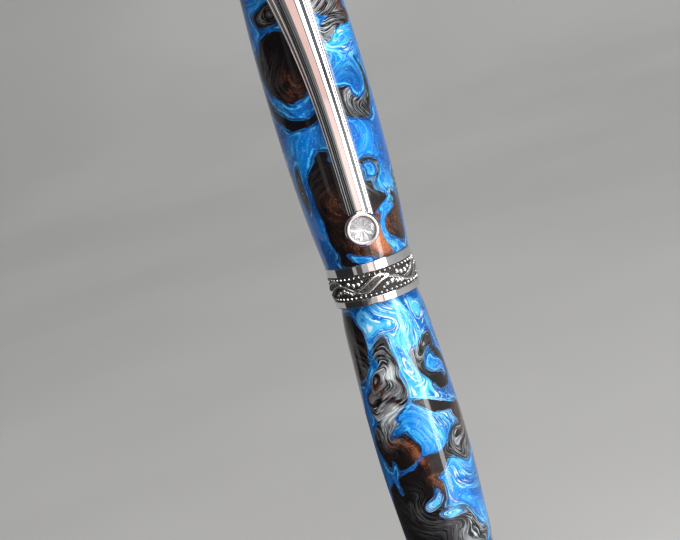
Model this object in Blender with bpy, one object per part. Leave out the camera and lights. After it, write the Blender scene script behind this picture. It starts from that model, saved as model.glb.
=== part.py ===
"""Capped dip pen with a turned resin body.

The pen stands on its tail: its axis is world Z, the centre of the tail's flat end is the origin, and
the clip is on the -Y side. The dimensions are in millimetres and the mesh builders turn them into
metres.
"""
import math

import bmesh
import bpy
from mathutils import Vector

MM = 0.001
SIDES = 32                      # sides of a turned piece
REST_GAP = 0.3                  # between two faces that rest on each other
PRESS_GAP = 0.05                # radial, between a pressed piece and its seat
RUN_GAP = 0.08                  # radial, between a thread's crest and the bore it turns in

# Heights along the axis.
TAIL_END = 0.0
TAIL_SHOULDER = 8.2             # top of the tail finial's body
BARREL_BOTTOM = 9.7             # lower end of the barrel's resin
TAIL_STUD_END = 15.5
TAIL_BUSH_END = 17.0
COUPLER_LOW, COUPLER_HIGH = 58.0, 79.8
BARREL_THREAD_LOW, BARREL_THREAD_HIGH = 75.3, 79.1
CAP_THREAD_LOW, CAP_THREAD_HIGH = 74.9, 80.6
BAND_BOTTOM = 71.0              # lower face of the centre band, and the cap's mouth
BAND_TOP = 77.85
BAND_TENON_END = 84.6
LINER_LOW, LINER_HIGH = 88.9, 124.9
HEAD_STUD_LOW = 126.0
HEAD_BUSH_LOW = 125.2
CAP_TOP = 130.7                 # upper end of the cap's resin
PEN_TOP = 140.8

# The centre band: lower ring, relief, upper ring.
RING_R = 7.3
LOWER_RING_H = 1.18
UPPER_RING_H = 1.5
BAND_SEAT_R = 6.75              # the coupler's body, which the relief and the upper ring sit on
RING_EDGE = 0.12                # cut off the rings' corners
RELIEF_BASE_R = 7.15
RELIEF_RISE = 0.4
RELIEF_STRAND = 0.55            # half-width of the raised strand
RELIEF_WAVES = 5
RELIEF_SIDES = 50
RELIEF_ROWS = 7

# Resin sleeves: (height, radius) stations of their smooth outlines, and their bores.
BARREL_STATIONS = [(BARREL_BOTTOM, 5.95), (21.0, 6.85), (32.0, 7.48), (41.0, 7.83), (50.0, 7.8),
                   (61.0, 7.38), (67.6, 7.0), (BAND_BOTTOM - REST_GAP, 6.45)]
CAP_STATIONS = [(BAND_TOP + REST_GAP, 7.25), (84.0, 7.8), (94.0, 8.33), (104.0, 8.48), (114.0, 8.38),
                (121.0, 8.1), (126.0, 7.8), (CAP_TOP, 7.35)]
SLEEVE_ROWS = 11
BARREL_TUBE_R = 5.3
CAP_TUBE_R = 6.2
TUBE_WALL = 0.25

# Threads.
CAP_THREAD_CREST_R = 5.05
CAP_THREAD_DEPTH = 0.3
CAP_THREAD_PITCH = 1.2
CAP_THREAD_STARTS = 2
ROWS_PER_PITCH = 4
BARREL_BORE_R = 4.0             # the coupler's bore, which takes the grip's tenon
STUD_R = 3.0                    # the finials' studs
COLLAR_R = 6.2                  # the barrel coupler's collar, inside the cap's mouth
COLLAR_H = 0.9
CAP_MOUTH_R = 6.3
TRIM_R = 6.0                    # the spacer between the tail finial and the resin

# The finials' rounded ends, and the cup that lines the cap.
TAIL_FLAT_R = 4.5
TAIL_FOOT_R = 1.3
HEAD_ARC_CENTRE_R = 3.9
HEAD_ARC_R = 2.9
RECESS_R = 3.3
RECESS_DEPTH = 1.3
LINER_BORE_R = 5.3
LINER_ROOF = 1.1

# The grip and the nib.
GRIP_SHOULDER = 80.1
GRIP_END = 97.5
GRIP_SHOULDER_R = 4.9
GRIP_INK_BORE_R = 2.2           # the bore below the collet
GRIP_OUTLINE = [(4.7, 83.0), (4.35, 87.0), (4.12, 91.0), (4.2, 94.5), (4.45, 96.6), (4.25, GRIP_END)]
GRIP_RING_BORE_R = 2.4
GRIP_RING_R = 4.05
TENON_END = 62.5
COLLET_R = 3.35
NIB_SHANK_R = 2.0
NIB_SHANK_END = 85.4
NIB_BULB_R = 3.1
NIB_TIP = 115.2
NIB_OUTLINE = [(NIB_SHANK_R, 99.2), (2.5, 99.9), (NIB_BULB_R, 101.4), (3.0, 102.9), (2.75, 104.4),
               (2.4, 106.4), (2.0, 108.4), (1.55, 110.4), (1.05, 112.4), (0.6, 114.0), (0.3, 114.9)]
FLUTED_FROM, FLUTED_TO = 101.0, 114.5
FLUTE_FADE = 3.0                # length over which the flutes fade out at both ends
NIB_FLUTES = 8
NIB_SIDES = 40
FLUTE_DEPTH = 0.16              # as a share of the radius
FLUTE_TWIST = 0.09              # radians of twist per millimetre
O_RING_HEIGHTS = {"o_ring_rear": 87.6, "o_ring_front": 94.4}
O_RING_CORD_R = 0.33
GROOVE_SLACK = 0.15

# The clip. Its arm leans a little: the root is left of the bezel.
BEZEL_X = 0.38
BEZEL_Z = 84.0
BEZEL_R = 2.87
BEZEL_BACK = 8.35               # distances from the axis, outwards along -Y
BEZEL_SEAT = 10.15
BEZEL_FRONT = 11.45
CRYSTAL_R = 2.2
CLIP_HINGE_Y = -8.6
CLIP_HINGE_Z = 131.6
CLIP_RING_H = 1.2
CLIP_RING_R = 7.05
CLIP_TAB_OUT = 7.4              # how far the ring's tab stands out from the axis
CLIP_TAB_HALF = 3.9
CLIP_TAB_TURN = math.radians(-10.0)
CLIP_RING_SIDES = 60
ARM_FLANGE = 0.45               # thickness of the arm's edge
ARM_CREST = 1.25                # thickness at the middle
ARM_STEP = 0.55                 # width of the flat beside the dome
ARM_ROWS = 12
ARM_BACK = [(84.4, -8.75), (96.0, -9.2), (110.0, -9.5), (121.0, -9.6), (128.0, -9.5)]    # (height, y)
ARM_WIDTHS = [(0.0, 3.9), (12.0, 4.1), (24.0, 4.5), (32.0, 5.4), (39.0, 6.65), (47.5, 8.2)]  # above the bezel
ARM_OFFSET = 0.42               # of the arm's lower end from the bezel's centre
ARM_LEAN_START = 12.0           # above the bezel, where the arm starts to curve to the left
ARM_LEAN = 0.0019               # sideways curve, per square millimetre
BEND_Z, BEND_R = 130.0, 1.1     # where the arm turns in to the ring


# ---------------------------------------------------------------- scene, materials and mesh builders

def clear_scene():
    for item in list(bpy.data.objects):
        bpy.data.objects.remove(item, do_unlink=True)


def material(name, colour, roughness, metallic=0.0, transmission=0.0):
    """A Principled material of one sub-part."""
    made = bpy.data.materials.new(name)
    made.use_nodes = True
    made.diffuse_color = (*colour, 1.0)
    shader = made.node_tree.nodes["Principled BSDF"]
    shader.inputs["Base Color"].default_value = (*colour, 1.0)
    shader.inputs["Roughness"].default_value = roughness
    shader.inputs["Metallic"].default_value = metallic
    shader.inputs["Transmission Weight"].default_value = transmission
    return made


RESIN = ((0.02, 0.20, 0.62), 0.12)
CHROME = ((0.80, 0.81, 0.83), 0.08, 1.0)
PEWTER = ((0.35, 0.34, 0.33), 0.35, 1.0)
BRASS = ((0.72, 0.52, 0.22), 0.28, 1.0)
BLACK_RESIN = ((0.015, 0.015, 0.017), 0.15)
BLACK_PLASTIC = ((0.03, 0.03, 0.032), 0.5)
RUBBER = ((0.02, 0.02, 0.02), 0.8)
GLASS = ((0.75, 0.88, 0.95), 0.03, 0.0, 1.0)
CRYSTAL = ((0.95, 0.96, 0.98), 0.02, 0.0, 1.0)


def empty(name, location, parent=None):
    """An axis that a moving group turns or slides on; location is in millimetres."""
    axis = bpy.data.objects.new(name, None)
    bpy.context.scene.collection.objects.link(axis)
    axis.location = Vector(location) * MM
    if parent:
        axis.parent = parent
        axis.matrix_parent_inverse = parent.matrix_world.inverted()
    bpy.context.view_layer.update()
    return axis


def ring(radius, height, sides=SIDES):
    """Points about Z at one height; radius is a number or a function of the angle."""
    if radius == 0:
        return [Vector((0, 0, height))]
    points = []
    for k in range(sides):
        angle = 2 * math.pi * k / sides
        r = radius(angle) if callable(radius) else radius
        points.append(Vector((r * math.cos(angle), r * math.sin(angle), height)))
    return points


def bridge(mesh, one, other):
    """Faces between two rings, of which one may be a single point on the axis."""
    for k in range(max(len(one), len(other))):
        corners = [one[k % len(one)], one[(k + 1) % len(one)],
                   other[(k + 1) % len(other)], other[k % len(other)]]
        mesh.faces.new(list(dict.fromkeys(corners)))


def solid(name, rings, look, looped=False, origin=(0, 0, 0), parent=None):
    """A closed body through rings of points; looped joins the last ring to the first."""
    mesh = bmesh.new()
    corners = [[mesh.verts.new((point - Vector(origin)) * MM) for point in points] for points in rings]
    for one, other in zip(corners, corners[1:]):
        bridge(mesh, one, other)
    if looped:
        bridge(mesh, corners[-1], corners[0])
    else:
        for end in (corners[0], corners[-1]):
            if len(end) > 1:
                mesh.faces.new(end)
    bmesh.ops.recalc_face_normals(mesh, faces=mesh.faces)
    data = bpy.data.meshes.new(name)
    mesh.to_mesh(data)
    mesh.free()
    data.shade_smooth()
    data.set_sharp_from_angle(angle=math.radians(35))
    made = bpy.data.objects.new(name, data)
    bpy.context.scene.collection.objects.link(made)
    made.data.materials.append(material(name, *look))
    made.location = Vector(origin) * MM
    bpy.context.view_layer.update()
    if parent:
        made.parent = parent
        made.matrix_parent_inverse = parent.matrix_world.inverted()
    return made


def turned(name, outline, look, parent=None, sides=SIDES):
    """A turned body from (radius, height) points. An outline that starts on the axis ends on it too."""
    base = min(height for _, height in outline)
    rings = [ring(radius, height, sides) for radius, height in outline]
    return solid(name, rings, look, looped=outline[0][0] != 0, origin=(0, 0, base), parent=parent)


def tube(name, inner, outer, low, high, look, parent=None):
    return turned(name, [(inner, low), (outer, low), (outer, high), (inner, high)], look, parent)


def chamfered(inner, outer, low, high, edge):
    """Outline of a ring with both outer edges broken."""
    return [(inner, low), (outer - edge, low), (outer, low + edge), (outer, high - edge),
            (outer - edge, high), (inner, high)]


def arc(centre_r, centre_z, radius, start, end, steps):
    """Outline points on an arc, with its angles in degrees from the outward direction."""
    angles = [math.radians(start + (end - start) * k / steps) for k in range(steps + 1)]
    return [(centre_r + radius * math.cos(a), centre_z + radius * math.sin(a)) for a in angles]


def smooth_through(stations, position):
    """Value at a position of the smooth curve through (position, value) stations."""
    index = 0
    while index < len(stations) - 2 and position > stations[index + 1][0]:
        index += 1
    (p0, v0), (p1, v1) = stations[index], stations[index + 1]
    before = stations[max(index - 1, 0)]
    after = stations[min(index + 2, len(stations) - 1)]
    slope0 = (v1 - before[1]) / (p1 - before[0])
    slope1 = (after[1] - v0) / (after[0] - p0)
    span = p1 - p0
    t = (position - p0) / span
    return ((2 * t ** 3 - 3 * t ** 2 + 1) * v0 + (t ** 3 - 2 * t ** 2 + t) * span * slope0
            + (3 * t ** 2 - 2 * t ** 3) * v1 + (t ** 3 - t ** 2) * span * slope1)


def sleeve_outline(stations, bore):
    """Outline of a resin sleeve: a smooth outside over a plain bore."""
    low, high = stations[0][0], stations[-1][0]
    rows = [low + (high - low) * k / (SLEEVE_ROWS - 1) for k in range(SLEEVE_ROWS)]
    outside = [(smooth_through(stations, z), z) for z in rows]
    return [(bore, low)] + outside + [(bore, high)]


# ---------------------------------------------------------------- barrel

def thread_rings(low, high):
    """Rings of the male cap thread: a ridge that climbs round the coupler."""
    lead = CAP_THREAD_PITCH * CAP_THREAD_STARTS
    rows = round((high - low) / CAP_THREAD_PITCH * ROWS_PER_PITCH)
    rings = []
    for k in range(rows + 1):
        height = low + (high - low) * k / rows
        fade = min(1.0, k / 2, (rows - k) / 2)

        def radius(angle, height=height, fade=fade):
            phase = (height - lead * angle / (2 * math.pi)) / CAP_THREAD_PITCH
            ridge = 0.5 + 0.5 * math.cos(2 * math.pi * phase)
            return CAP_THREAD_CREST_R - CAP_THREAD_DEPTH * (1 - fade * ridge)

        rings.append(ring(radius, height))
    return rings


def make_barrel():
    tube("barrel_tube", BARREL_TUBE_R - TUBE_WALL, BARREL_TUBE_R, BARREL_BOTTOM + REST_GAP,
         BAND_BOTTOM - 2 * REST_GAP, BRASS)
    turned("barrel_sleeve", sleeve_outline(BARREL_STATIONS, BARREL_TUBE_R + PRESS_GAP), RESIN)
    make_barrel_coupler()
    tail_bush_r = BARREL_TUBE_R - TUBE_WALL - PRESS_GAP
    tube("tail_coupler", STUD_R + PRESS_GAP, tail_bush_r, BARREL_BOTTOM + REST_GAP, TAIL_BUSH_END, BRASS)
    trim_low = TAIL_SHOULDER + REST_GAP
    turned("tail_trim_ring", chamfered(STUD_R + PRESS_GAP, TRIM_R, trim_low, BARREL_BOTTOM - REST_GAP, 0.15),
           BLACK_RESIN)
    make_tail_finial()


def make_barrel_coupler():
    """Front coupler: a spigot in the tube, a collar on the resin's end, and the male cap thread."""
    spigot_r = BARREL_TUBE_R - TUBE_WALL - PRESS_GAP
    collar_top = BAND_BOTTOM + COLLAR_H
    neck_r = CAP_THREAD_CREST_R - CAP_THREAD_DEPTH
    below = [(BARREL_BORE_R, COUPLER_LOW), (spigot_r, COUPLER_LOW), (spigot_r, BAND_BOTTOM),
             (COLLAR_R, BAND_BOTTOM), (COLLAR_R, collar_top), (neck_r, collar_top)]
    above = [(neck_r - 0.2, COUPLER_HIGH), (BARREL_BORE_R, COUPLER_HIGH)]
    rings = [ring(r, z) for r, z in below] + thread_rings(BARREL_THREAD_LOW, BARREL_THREAD_HIGH)
    rings += [ring(r, z) for r, z in above]
    solid("barrel_coupler", rings, CHROME, looped=True, origin=(0, 0, COUPLER_LOW))


def make_tail_finial():
    """End piece: a flat end, a rounded foot, a waist, a shoulder under the trim ring and a stud."""
    outline = [(0, TAIL_END), (TAIL_FLAT_R, TAIL_END)]
    outline += arc(TAIL_FLAT_R, TAIL_FOOT_R, TAIL_FOOT_R, -68, 0, 3)
    outline += [(5.75, 3.4), (5.35, 4.3), (5.35, 5.0), (5.9, 5.8), (6.05, 6.6), (6.05, TAIL_SHOULDER - 0.3),
                (5.8, TAIL_SHOULDER), (STUD_R, TAIL_SHOULDER), (STUD_R, TAIL_STUD_END), (0, TAIL_STUD_END)]
    turned("tail_finial", outline, CHROME)


# ---------------------------------------------------------------- grip section and nib

def make_section(parent, core):
    make_grip(parent)
    ring_low = GRIP_END + REST_GAP
    band = chamfered(GRIP_RING_BORE_R, GRIP_RING_R, ring_low, ring_low + 1.0, 0.25)
    turned("grip_ring", band, CHROME, parent)
    make_collet(core)
    for name, height in O_RING_HEIGHTS.items():
        section = arc(NIB_SHANK_R + PRESS_GAP + O_RING_CORD_R, height, O_RING_CORD_R, 0, 315, 7)
        turned(name, section, RUBBER, parent, sides=24)
    make_nib(parent)


def make_grip(parent):
    """Grip with a tenon below its shoulder, a bore for the collet and a narrower bore under it."""
    tenon_r = BARREL_BORE_R - RUN_GAP
    seat_r = COLLET_R + PRESS_GAP
    seat_floor = NIB_SHANK_END - 2 * REST_GAP
    outline = [(GRIP_INK_BORE_R, TENON_END), (tenon_r - 0.4, TENON_END), (tenon_r, TENON_END + 0.5),
               (tenon_r, GRIP_SHOULDER - 1.0), (tenon_r - 0.35, GRIP_SHOULDER - 0.9),
               (tenon_r - 0.35, GRIP_SHOULDER), (GRIP_SHOULDER_R - 0.2, GRIP_SHOULDER),
               (GRIP_SHOULDER_R, GRIP_SHOULDER + 0.3), (GRIP_SHOULDER_R, GRIP_SHOULDER + 1.3)]
    outline += GRIP_OUTLINE
    outline += [(seat_r, GRIP_END), (seat_r, seat_floor), (GRIP_INK_BORE_R, seat_floor)]
    turned("grip_section", outline, BLACK_RESIN, parent)


def make_collet(parent):
    """Sleeve round the nib's shank with an inner groove for each rubber ring."""
    low, high = NIB_SHANK_END - REST_GAP, GRIP_END - REST_GAP
    bore = NIB_SHANK_R + 2 * PRESS_GAP
    groove_r = NIB_SHANK_R + 2 * PRESS_GAP + 2 * O_RING_CORD_R
    groove_half = O_RING_CORD_R + GROOVE_SLACK
    outline = [(COLLET_R, high), (COLLET_R, low), (bore, low)]
    for height in O_RING_HEIGHTS.values():
        outline += [(bore, height - groove_half), (groove_r, height - groove_half),
                    (groove_r, height + groove_half), (bore, height + groove_half)]
    turned("nib_collet", outline + [(bore, high)], BRASS, parent)


def make_nib(parent):
    """Glass nib: a plain shank, a bulb, and a taper with twisted flutes down to a blunt point."""
    outline = [(0, NIB_SHANK_END), (NIB_SHANK_R, NIB_SHANK_END), *NIB_OUTLINE, (0, NIB_TIP)]
    rings = []
    for radius, height in outline:
        share = min(height - FLUTED_FROM, FLUTED_TO - height) / FLUTE_FADE
        share = min(max(share, 0.0), 1.0)

        def fluted(angle, radius=radius, height=height, share=share):
            turn = angle + FLUTE_TWIST * (height - FLUTED_FROM)
            groove = 0.5 - 0.5 * math.cos(NIB_FLUTES * turn)
            return radius * (1 - FLUTE_DEPTH * share * groove)

        rings.append(ring(fluted if radius else 0, height, NIB_SIDES))
    solid("glass_nib", rings, GLASS, origin=(0, 0, NIB_SHANK_END), parent=parent)


# ---------------------------------------------------------------- cap

def make_cap(axis, core, slider):
    tube_inner = CAP_TUBE_R - TUBE_WALL
    tube("cap_tube", tube_inner, CAP_TUBE_R, BAND_TOP + 2 * REST_GAP, CAP_TOP - REST_GAP, BRASS, slider)
    turned("cap_sleeve", sleeve_outline(CAP_STATIONS, CAP_TUBE_R + PRESS_GAP), RESIN, axis)
    make_inner_cap(tube_inner - 2 * PRESS_GAP, core)
    make_band(tube_inner - PRESS_GAP, axis)
    tube("cap_coupler", STUD_R + PRESS_GAP, tube_inner - PRESS_GAP, HEAD_BUSH_LOW, CAP_TOP - REST_GAP, BRASS,
         axis)
    make_clip_ring(axis)
    make_cap_finial(axis)


def make_inner_cap(outer_r, parent):
    """Liner: a plain cup, open downwards, with a bevelled mouth."""
    low, high = LINER_LOW, LINER_HIGH
    roof = high - LINER_ROOF
    outline = [(0, high), (outer_r - 0.4, high), (outer_r, high - 0.4), (outer_r, low), (outer_r - 0.2, low),
               (LINER_BORE_R, low + 0.5), (LINER_BORE_R, roof), (0, roof)]
    turned("inner_cap", outline, BLACK_PLASTIC, parent)


def make_band(tenon_r, parent):
    """Coupler with the lower ring on it, the relief and upper ring it carries, and its thread lining."""
    bore = tenon_r - 0.35
    ring_top = BAND_BOTTOM + LOWER_RING_H
    mouth_floor = ring_top - 0.05
    outline = [(CAP_MOUTH_R, BAND_BOTTOM), (RING_R - RING_EDGE, BAND_BOTTOM),
               (RING_R, BAND_BOTTOM + RING_EDGE), (RING_R, ring_top - RING_EDGE),
               (RING_R - RING_EDGE, ring_top), (BAND_SEAT_R, ring_top), (BAND_SEAT_R, BAND_TOP),
               (tenon_r, BAND_TOP), (tenon_r, BAND_TENON_END), (bore, BAND_TENON_END),
               (bore, mouth_floor), (CAP_MOUTH_R, mouth_floor)]
    turned("band_coupler", outline, CHROME, parent)
    upper_low = BAND_TOP - UPPER_RING_H
    seat = BAND_SEAT_R + PRESS_GAP
    turned("band_upper_ring", chamfered(seat, RING_R, upper_low, BAND_TOP, RING_EDGE), CHROME, parent)
    make_relief(seat, ring_top + REST_GAP, upper_low - REST_GAP, parent)
    tube("cap_thread_insert", CAP_THREAD_CREST_R + RUN_GAP, bore - PRESS_GAP, CAP_THREAD_LOW, CAP_THREAD_HIGH,
         BRASS, parent)


def make_relief(seat, low, high, parent):
    """Ring with one raised strand that waves round it."""
    middle, swing = (low + high) / 2, (high - low) / 4
    rings = [ring(seat, low, RELIEF_SIDES)]
    for k in range(RELIEF_ROWS):
        height = low + (high - low) * k / (RELIEF_ROWS - 1)

        def radius(angle, height=height):
            centre = middle + swing * math.sin(RELIEF_WAVES * angle)
            return RELIEF_BASE_R + RELIEF_RISE * math.exp(-((height - centre) / RELIEF_STRAND) ** 2)

        rings.append(ring(radius, height, RELIEF_SIDES))
    rings.append(ring(seat, high, RELIEF_SIDES))
    solid("band_relief", rings, PEWTER, looped=True, origin=(0, 0, low), parent=parent)


def make_cap_finial(parent):
    """Top piece: a flange on the clip ring, a waist, a domed head with a recess, and a stud."""
    low = CAP_TOP + 2 * REST_GAP + CLIP_RING_H
    recess_floor = PEN_TOP - RECESS_DEPTH
    outline = [(0, HEAD_STUD_LOW), (STUD_R, HEAD_STUD_LOW), (STUD_R, low), (6.75, low), (7.0, low + 0.25),
               (7.0, low + 1.1), (6.6, low + 1.5), (6.15, low + 2.0), (6.15, low + 2.6), (6.6, low + 3.2)]
    outline += arc(HEAD_ARC_CENTRE_R, PEN_TOP - HEAD_ARC_CENTRE_R, HEAD_ARC_R, 0, 72, 5)
    outline += [(RECESS_R + 0.1, PEN_TOP - 0.95), (RECESS_R, PEN_TOP - 1.05), (RECESS_R, recess_floor),
                (0, recess_floor)]
    turned("cap_finial", outline, CHROME, parent)
    jewel_r, jewel_low = RECESS_R - 0.1, recess_floor + REST_GAP
    jewel = [(0, jewel_low), (jewel_r, jewel_low), (jewel_r, jewel_low + 0.35), (2.6, jewel_low + 0.7),
             (1.5, jewel_low + 0.93), (0, PEN_TOP)]
    turned("finial_inlay", jewel, BLACK_RESIN, parent)


# ---------------------------------------------------------------- clip

def make_clip_ring(parent):
    """Washer under the finial with a straight tab that meets the arm."""
    low = CAP_TOP + REST_GAP
    facing = -math.pi / 2 + CLIP_TAB_TURN

    def edge(angle):
        across, along = abs(math.sin(angle - facing)), math.cos(angle - facing)
        if along * CLIP_TAB_HALF <= across * CLIP_TAB_OUT:
            straight = CLIP_TAB_HALF / across if along > 0 else 0
        else:
            straight = CLIP_TAB_OUT / along
        return max(CLIP_RING_R, straight)

    hole, high = STUD_R + PRESS_GAP, low + CLIP_RING_H
    rings = [ring(radius, height, CLIP_RING_SIDES)
             for radius, height in ((hole, low), (edge, low), (edge, high), (hole, high))]
    solid("clip_ring", rings, CHROME, looped=True, origin=(0, 0, low), parent=parent)


def arm_section(centre, outward, width):
    """One section of the arm: a flat back, thin edges with a step, and a domed middle."""
    half = width / 2
    dome = half - ARM_STEP
    profile = [(-half, 0), (half, 0), (half, ARM_FLANGE), (dome, ARM_FLANGE + 0.05)]
    for k in range(1, 6):
        x = dome * math.cos(math.pi * k / 6)
        profile.append((x, ARM_FLANGE + (ARM_CREST - ARM_FLANGE) * math.sin(math.pi * k / 6) ** 0.7))
    profile += [(-dome, ARM_FLANGE + 0.05), (-half, ARM_FLANGE)]
    return [centre + Vector((x, 0, 0)) + outward * n for x, n in profile]


def make_clip(parent):
    """Arm from the ring's tab down to the bezel, joined to the bezel's cup, and the crystal in it."""
    start = ARM_BACK[0][0]
    path = []
    for k in range(ARM_ROWS):
        z = start + (BEND_Z - start) * k / (ARM_ROWS - 1)
        path.append((z, smooth_through(ARM_BACK, min(z, ARM_BACK[-1][0])), 0.0))
    last_y = path[-1][1]
    for turn in (30, 60, 90):
        a = math.radians(turn)
        path.append((BEND_Z + BEND_R * math.sin(a), last_y + BEND_R * (1 - math.cos(a)), a))
    rings = []
    for z, y, tilt in path:
        above = z - BEZEL_Z
        width = smooth_through(ARM_WIDTHS, min(above, ARM_WIDTHS[-1][0]))
        lean = ARM_OFFSET - ARM_LEAN * max(above - ARM_LEAN_START, 0.0) ** 2
        outward = Vector((0, -math.cos(tilt), math.sin(tilt)))
        rings.append(arm_section(Vector((BEZEL_X + lean, y, z)), outward, width))
    pivot = (0, CLIP_HINGE_Y, CLIP_HINGE_Z)
    arm = solid("clip_arm", rings, CHROME, origin=pivot, parent=parent)
    cup = make_bezel()
    union = arm.modifiers.new("bezel", "BOOLEAN")
    union.operation = "UNION"
    union.object = cup
    make_crystal(parent)


def facing_front(name, outline, look, sides, distance):
    """A turned piece whose axis points out of the cap through the bezel's centre."""
    made = turned(name, outline, look, sides=sides)
    made.rotation_euler = (math.radians(90), 0, 0)
    made.location = Vector((BEZEL_X, -distance, BEZEL_Z)) * MM
    bpy.context.view_layer.update()
    return made


def make_bezel():
    """Cup of the stone: a rounded rim round a shallow seat."""
    depth, seat = BEZEL_FRONT - BEZEL_BACK, BEZEL_SEAT - BEZEL_BACK
    inner = CRYSTAL_R + 0.1
    outline = [(0, 0), (BEZEL_R - 0.5, 0), (BEZEL_R, 0.6), (BEZEL_R, depth - 0.35),
               (BEZEL_R - 0.12, depth - 0.1), (BEZEL_R - 0.3, depth), (inner, depth - 0.15), (inner, seat),
               (0, seat)]
    cup = facing_front("bezel_cup", outline, CHROME, 32, BEZEL_BACK)
    cup.hide_render = True
    cup.display_type = "WIRE"
    return cup


def make_crystal(parent):
    """Round stone with a flat table, a faceted crown and a short pointed back."""
    outline = [(0, 0), (CRYSTAL_R, 0.45), (CRYSTAL_R, 0.55), (CRYSTAL_R * 0.58, 0.85), (0, 0.85)]
    stone = facing_front("crystal", outline, CRYSTAL, 16, BEZEL_SEAT + REST_GAP)
    stone.data.shade_flat()
    stone.parent = parent
    stone.matrix_parent_inverse = parent.matrix_world.inverted()


def main():
    clear_scene()
    section_core = empty("section_lead_axis", (0, 0, GRIP_SHOULDER))
    section_axis = empty("section_turn_axis", (0, 0, GRIP_SHOULDER), section_core)
    cap_core = empty("cap_pull_axis", (0, 0, BAND_BOTTOM))
    cap_slider = empty("cap_lead_axis", (0, 0, BAND_BOTTOM), cap_core)
    cap_axis = empty("cap_turn_axis", (0, 0, BAND_BOTTOM), cap_slider)
    clip_axis = empty("clip_flex_axis", (0, CLIP_HINGE_Y, CLIP_HINGE_Z), cap_axis)
    make_barrel()
    make_section(section_axis, section_core)
    make_cap(cap_axis, cap_core, cap_slider)
    make_clip(clip_axis)


main()
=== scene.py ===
"""Looks of the capped dip pen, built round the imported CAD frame.

The pen stands on its tail along +Z, with its clip towards -Y. Shapes are in millimetres and become metres
as each mesh is made. Azimuths are in degrees, from the clip's side (-Y) towards +X.
"""
import math
from typing import NamedTuple

import bpy
import numpy as np
from mathutils import Matrix, Vector


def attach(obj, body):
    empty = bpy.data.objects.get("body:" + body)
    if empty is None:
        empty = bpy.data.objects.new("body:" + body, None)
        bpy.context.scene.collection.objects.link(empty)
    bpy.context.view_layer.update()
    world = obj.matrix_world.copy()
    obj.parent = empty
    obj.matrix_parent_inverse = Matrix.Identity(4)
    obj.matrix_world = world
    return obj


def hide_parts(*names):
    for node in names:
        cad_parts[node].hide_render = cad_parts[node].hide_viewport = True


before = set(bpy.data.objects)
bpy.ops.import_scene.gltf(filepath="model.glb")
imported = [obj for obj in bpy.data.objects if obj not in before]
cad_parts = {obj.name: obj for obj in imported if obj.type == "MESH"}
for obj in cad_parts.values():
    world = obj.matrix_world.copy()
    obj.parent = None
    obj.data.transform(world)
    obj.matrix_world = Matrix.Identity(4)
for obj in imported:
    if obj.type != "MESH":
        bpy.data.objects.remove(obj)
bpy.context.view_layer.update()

MM = 0.001
FINE_SIDES = 160
POLE = 1e-6                     # a radius under this is on the axis
GUARD, GUARD_SHARE = 0.03, 0.03     # guard points: at most this far past an ease, and this share of its edge
EASE_SHARE = 0.45               # the most of an edge that one corner's easing takes

# Linear colours of the poured resin
AZURE = (0.0, 0.165, 0.62)
DEEP_BLUE = (0.0, 0.040, 0.21)
BRIGHT_BLUE = (0.0, 0.34, 0.86)
NAVY = (0.002, 0.012, 0.07)
CYAN = (0.10, 0.62, 0.94)
ICE = (0.78, 0.95, 1.0)
INK = (0.004, 0.003, 0.004)
UMBER = (0.034, 0.013, 0.008)
COPPER = (0.52, 0.17, 0.075)
SILVER = (0.46, 0.48, 0.52)
# Painted sheen, laid as colour over the strongest silver mica
PAINTED_SHEEN = (0.70, 0.72, 0.74)


# ---------------- meshes

def mesh_piece(name, points, faces, sharp=35.0):
    """A smooth mesh of points in millimetres; edges that turn by more than `sharp` degrees stay crisp."""
    mesh = bpy.data.meshes.new(name)
    mesh.from_pydata((np.asarray(points, float) * MM).tolist(), [], faces)
    mesh.shade_smooth()
    mesh.set_sharp_from_angle(angle=math.radians(sharp))
    piece = bpy.data.objects.new(name, mesh)
    bpy.context.scene.collection.objects.link(piece)
    return piece


def rounded(corners, steps=5):
    """A closed outline through (radius, height, cut) corners, each eased over `cut` along both its edges.

    A guard point just past each eased corner keeps the edge beyond it flat in smooth shading.
    """
    outline = []
    for i, (radius, height, cut) in enumerate(corners):
        here = np.array((radius, height), float)
        if not cut:
            outline.append(here)
            continue
        ends, guards = [], []
        for other in (corners[i - 1], corners[(i + 1) % len(corners)]):
            edge = np.array(other[:2]) - here
            length = np.linalg.norm(edge)
            reach = min(cut, EASE_SHARE * length)
            ends.append(here + edge / length * reach)
            guards.append(here + edge / length * (reach + min(GUARD, GUARD_SHARE * length)))
        outline.append(guards[0])
        for t in np.linspace(0, 1, steps):
            outline.append((1 - t) ** 2 * ends[0] + 2 * t * (1 - t) * here + t * t * ends[1])
        outline.append(guards[1])
    return np.array(outline)


def smooth_curve(stations, at):
    """Values at `at` of a smooth curve through (place, value) stations."""
    places, values = np.array(stations, float).T
    slopes = np.gradient(values, places)
    i = np.clip(np.searchsorted(places, at) - 1, 0, len(places) - 2)
    span = places[i + 1] - places[i]
    t = (at - places[i]) / span
    near = (1 + 2 * t) * (1 - t) ** 2 * values[i] + t * (1 - t) ** 2 * span * slopes[i]
    far = t * t * (3 - 2 * t) * values[i + 1] + t * t * (t - 1) * span * slopes[i + 1]
    return near + far


def turn_from(degrees, azimuth):
    """Turns from an azimuth in degrees to others in radians, from -pi to pi."""
    return (azimuth - math.radians(degrees) + math.pi) % (2 * math.pi) - math.pi


def bulge(distance, reach):
    """Height of a half-round bump: 1 in its middle, and 0 from `reach` outwards."""
    return np.sqrt(np.clip(1 - (distance / reach) ** 2, 0, 1))


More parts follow.
